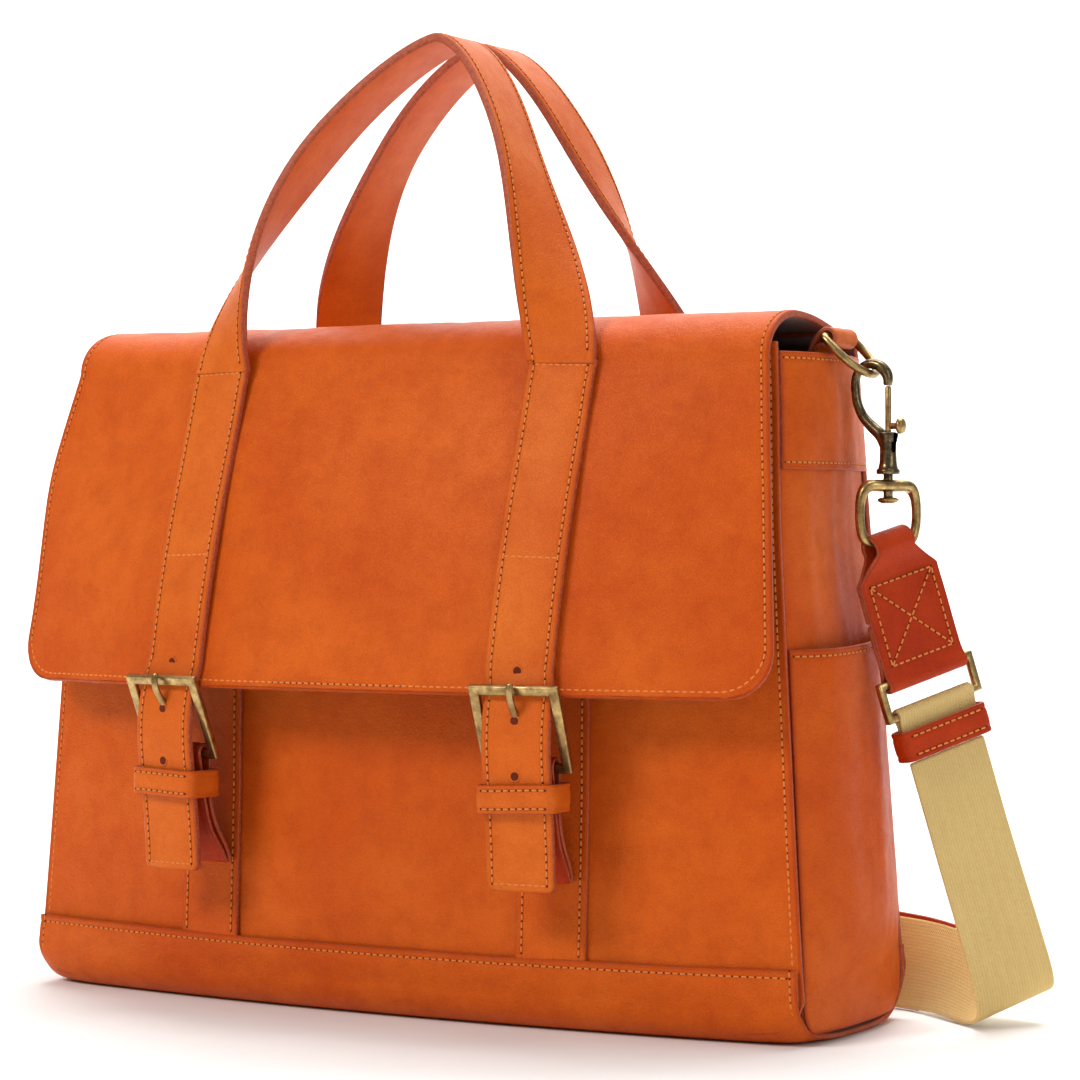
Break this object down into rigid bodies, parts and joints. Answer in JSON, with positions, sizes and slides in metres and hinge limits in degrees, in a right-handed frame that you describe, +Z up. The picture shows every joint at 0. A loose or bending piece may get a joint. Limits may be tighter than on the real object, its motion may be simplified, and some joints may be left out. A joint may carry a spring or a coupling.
{
  "type": "leather briefcase",
  "caption": "Soft leather flap briefcase with buckled straps, carrying handles, side pockets and a clip-on webbing shoulder strap.",
  "frame": {"origin": "middle of the base, on the surface that the bag stands on", "axes": "+X to the right as the front is looked at, +Y to the back, +Z up"},
  "size_m": [0.522, 0.1921, 0.4304],
  "materials": {
    "leather": "waxed full-grain",
    "handle_leather": "waxed full-grain",
    "antique_brass": "antiqued",
    "spring_wire": "bright wire",
    "webbing": "twill-woven cotton",
    "lining": "suede side",
    "board": "fibreboard"
  },
  "bodies": {
    "bag": {"base_wrap": "leather", "base_board": "board", "front_panel": "leather", "back_panel": "leather", "inner_divider": "lining", "gusset_right": "leather", "gusset_band_right": "leather", "side_pocket_right": "leather", "front_strip_right": "leather", "buckle_chape_right": "leather", "strap_keeper_right": "leather", "rear_handle_anchor_right": "handle_leather", "dring_tab_right": "leather", "webbing_side_right": "webbing", "gusset_left": "leather", "gusset_band_left": "leather", "side_pocket_left": "leather", "front_strip_left": "leather", "buckle_chape_left": "leather", "strap_keeper_left": "leather", "rear_handle_anchor_left": "handle_leather", "dring_tab_left": "leather", "webbing_side_left": "webbing", "webbing_back": "webbing"},
    "flap": {"flap_panel": "leather", "handle_anchor_right": "handle_leather", "flap_strap_right": "leather", "strap_tip_right": "leather", "handle_anchor_left": "handle_leather", "flap_strap_left": "leather", "strap_tip_left": "leather"},
    "front_handle": {"front_handle": "handle_leather"},
    "rear_handle": {"rear_handle": "handle_leather"},
    "buckle_right": {"buckle_frame_right": "antique_brass"},
    "prong_right": {"buckle_prong_right": "antique_brass"},
    "ring_right": {"dring_right": "antique_brass"},
    "hook_right": {"snap_hook_right": "antique_brass", "bolt_spring_right": "spring_wire"},
    "bolt_right": {"snap_bolt_right": "antique_brass"},
    "eye_right": {"swivel_eye_right": "antique_brass"},
    "end_right": {"strap_end_right": "leather", "strap_link_right": "antique_brass", "webbing_fold_right": "webbing", "webbing_keeper_right": "leather"},
    "buckle_left": {"buckle_frame_left": "antique_brass"},
    "prong_left": {"buckle_prong_left": "antique_brass"},
    "ring_left": {"dring_left": "antique_brass"},
    "hook_left": {"snap_hook_left": "antique_brass", "bolt_spring_left": "spring_wire"},
    "bolt_left": {"snap_bolt_left": "antique_brass"},
    "eye_left": {"swivel_eye_left": "antique_brass"},
    "end_left": {"strap_end_left": "leather", "strap_link_left": "antique_brass", "webbing_fold_left": "webbing", "webbing_keeper_left": "leather"}
  },
  "joints": [
    {"name": "flap_hinge", "type": "hinge", "parent": "bag", "child": "flap", "pos_m": [0, 0.0364, 0.293], "axis": [-1, 0, 0], "range_deg": [0, 165], "deforming": ["strap_tip_right", "strap_tip_left"]},
    {"name": "front_handle_hinge", "type": "hinge", "parent": "flap", "child": "front_handle", "pos_m": [0, -0.0615, 0.2832], "axis": [1, 0, 0], "range_deg": [0, 160]},
    {"name": "rear_handle_hinge", "type": "hinge", "parent": "bag", "child": "rear_handle", "pos_m": [0, 0.0495, 0.2832], "axis": [-1, 0, 0], "range_deg": [0, 165]},
    {"name": "buckle_hinge_right", "type": "hinge", "parent": "bag", "child": "buckle_right", "pos_m": [0.08858, -0.08547, 0.113], "axis": [0.9945, 0.1045, 0], "range_deg": [0, 75]},
    {"name": "prong_hinge_right", "type": "hinge", "parent": "buckle_right", "child": "prong_right", "pos_m": [0.08858, -0.08547, 0.113], "axis": [0.9945, 0.1045, 0], "range_deg": [0, 5]},
    {"name": "ring_hinge_right", "type": "hinge", "parent": "bag", "child": "ring_right", "pos_m": [0.1865, 0.006, 0.292], "axis": [0, -1, 0], "range_deg": [-3, 60], "deforming": ["webbing_side_right"]},
    {"name": "hook_hinge_right", "type": "hinge", "parent": "ring_right", "child": "hook_right", "pos_m": [0.20206, 0.006, 0.27644], "axis": [0, -1, 0], "range_deg": [-60, 3]},
    {"name": "bolt_slide_right", "type": "slide", "parent": "hook_right", "child": "bolt_right", "axis": [0, 0, -1], "range_m": [0, 0.007], "stiffness_N_per_m": 150, "springref_m": -0.004, "deforming": ["bolt_spring_right"]},
    {"name": "eye_swivel_right", "type": "hinge", "parent": "hook_right", "child": "eye_right", "pos_m": [0.20956, 0.006, 0.232], "axis": [0, 0, 1], "range_deg": [-15, 45], "deforming": ["webbing_side_right"]},
    {"name": "end_hinge_right", "type": "hinge", "parent": "eye_right", "child": "end_right", "pos_m": [0.20956, 0.006, 0.205], "axis": [-0.4787, -0.878, 0], "range_deg": [0, 45], "deforming": ["webbing_side_right"]},
    {"name": "buckle_hinge_left", "type": "hinge", "parent": "bag", "child": "buckle_left", "pos_m": [-0.08858, -0.08547, 0.113], "axis": [0.9945, -0.1045, 0], "range_deg": [0, 75]},
    {"name": "prong_hinge_left", "type": "hinge", "parent": "buckle_left", "child": "prong_left", "pos_m": [-0.08858, -0.08547, 0.113], "axis": [0.9945, -0.1045, 0], "range_deg": [0, 5]},
    {"name": "ring_hinge_left", "type": "hinge", "parent": "bag", "child": "ring_left", "pos_m": [-0.1865, 0.006, 0.292], "axis": [0, 1, 0], "range_deg": [-3, 60], "deforming": ["webbing_side_left"]},
    {"name": "hook_hinge_left", "type": "hinge", "parent": "ring_left", "child": "hook_left", "pos_m": [-0.20206, 0.006, 0.27644], "axis": [0, 1, 0], "range_deg": [-60, 3]},
    {"name": "bolt_slide_left", "type": "slide", "parent": "hook_left", "child": "bolt_left", "axis": [0, 0, -1], "range_m": [0, 0.007], "stiffness_N_per_m": 150, "springref_m": -0.004, "deforming": ["bolt_spring_left"]},
    {"name": "eye_swivel_left", "type": "hinge", "parent": "hook_left", "child": "eye_left", "pos_m": [-0.20956, 0.006, 0.232], "axis": [0, 0, -1], "range_deg": [-15, 45], "deforming": ["webbing_side_left"]},
    {"name": "end_hinge_left", "type": "hinge", "parent": "eye_left", "child": "end_left", "pos_m": [-0.20956, 0.006, 0.205], "axis": [-0.4787, 0.878, 0], "range_deg": [0, 45], "deforming": ["webbing_side_left"]}
  ],
  "couplings": [
    {"joint": "rear_handle_hinge", "follows": "flap_hinge", "ratio": 1},
    {"joint": "buckle_hinge_right", "follows": "flap_hinge", "ratio": 0.45},
    {"joint": "prong_hinge_right", "follows": "flap_hinge", "ratio": 0.03},
    {"joint": "hook_hinge_right", "follows": "ring_hinge_right", "ratio": -1},
    {"joint": "buckle_hinge_left", "follows": "flap_hinge", "ratio": 0.45},
    {"joint": "prong_hinge_left", "follows": "flap_hinge", "ratio": 0.03},
    {"joint": "hook_hinge_left", "follows": "ring_hinge_left", "ratio": -1}
  ]
}
